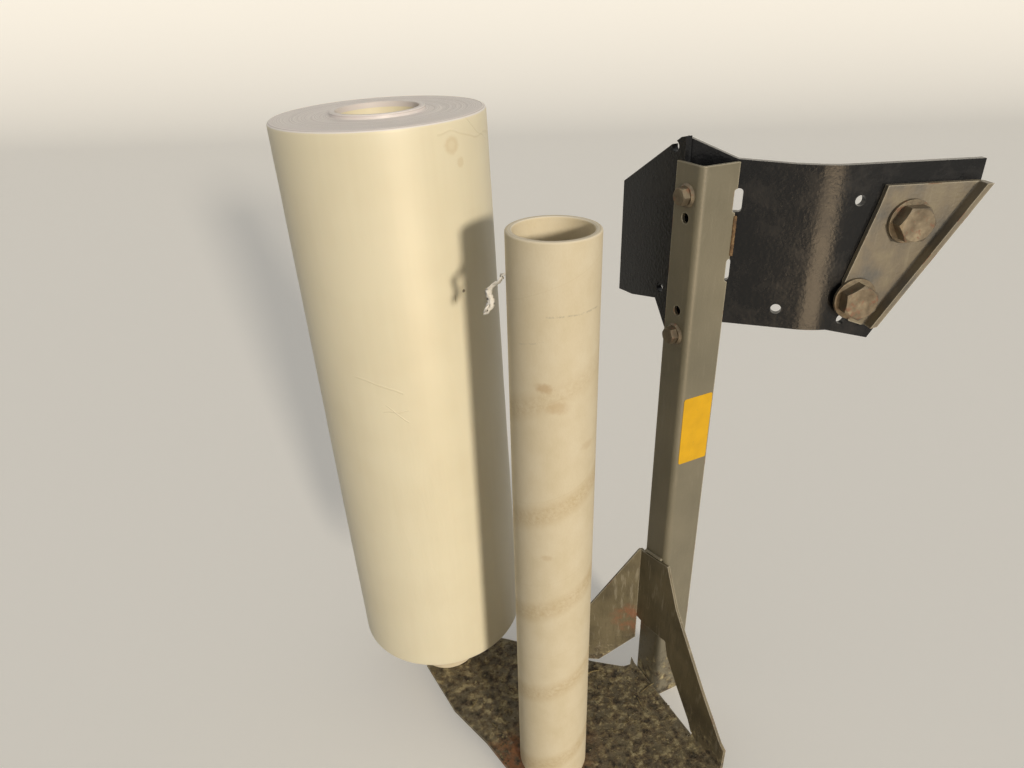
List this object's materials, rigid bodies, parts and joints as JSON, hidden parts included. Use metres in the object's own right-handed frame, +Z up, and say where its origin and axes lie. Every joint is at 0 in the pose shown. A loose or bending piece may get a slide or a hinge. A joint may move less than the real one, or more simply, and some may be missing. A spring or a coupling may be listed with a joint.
{
  "type": "film-roll carrier of a bale wrapper",
  "caption": "Film-roll carrier of a round-bale wrapper: a folded steel tray on a bolted angle post, with a full roll of stretch film and an empty film core standing on it.",
  "frame": {"origin": "on the axis of the upper frame bolt, half-way along its free shank behind the bracket", "axes": "+X inboard, towards the machine's centre line; +Y rearward; +Z up"},
  "size_m": [0.6757, 0.5002, 0.8758],
  "materials": {
    "painted_steel": "matte",
    "dark_painted_steel": "satin",
    "zinc_plated_steel": "satin",
    "paperboard": "matte",
    "stretch_film": "satin"
  },
  "bodies": {
    "carrier": {"tray_sheet": "painted_steel", "post": "painted_steel", "tray_weld": "painted_steel", "gusset_plate": "dark_painted_steel", "front_plate": "dark_painted_steel", "bracket_weld": "dark_painted_steel", "strap_plate": "painted_steel", "upper_frame_bolt": "zinc_plated_steel", "lower_frame_bolt": "zinc_plated_steel", "upper_frame_washer": "zinc_plated_steel", "lower_frame_washer": "zinc_plated_steel", "upper_post_bolt": "zinc_plated_steel", "lower_post_bolt": "zinc_plated_steel", "upper_post_nut": "zinc_plated_steel", "lower_post_nut": "zinc_plated_steel", "roll_peg": "painted_steel", "core_peg": "painted_steel"},
    "film_roll": {"roll_core": "paperboard", "film_winding": "stretch_film"},
    "spare_core": {"empty_core": "paperboard"}
  },
  "joints": [
    {"name": "film_roll_lift", "type": "slide", "parent": "carrier", "child": "film_roll", "axis": [-0.029, 0.0015, 0.9996], "range_m": [0, 0.18]},
    {"name": "empty_core_lift", "type": "slide", "parent": "carrier", "child": "spare_core", "axis": [0, 0, 1], "range_m": [0, 0.18]}
  ]
}
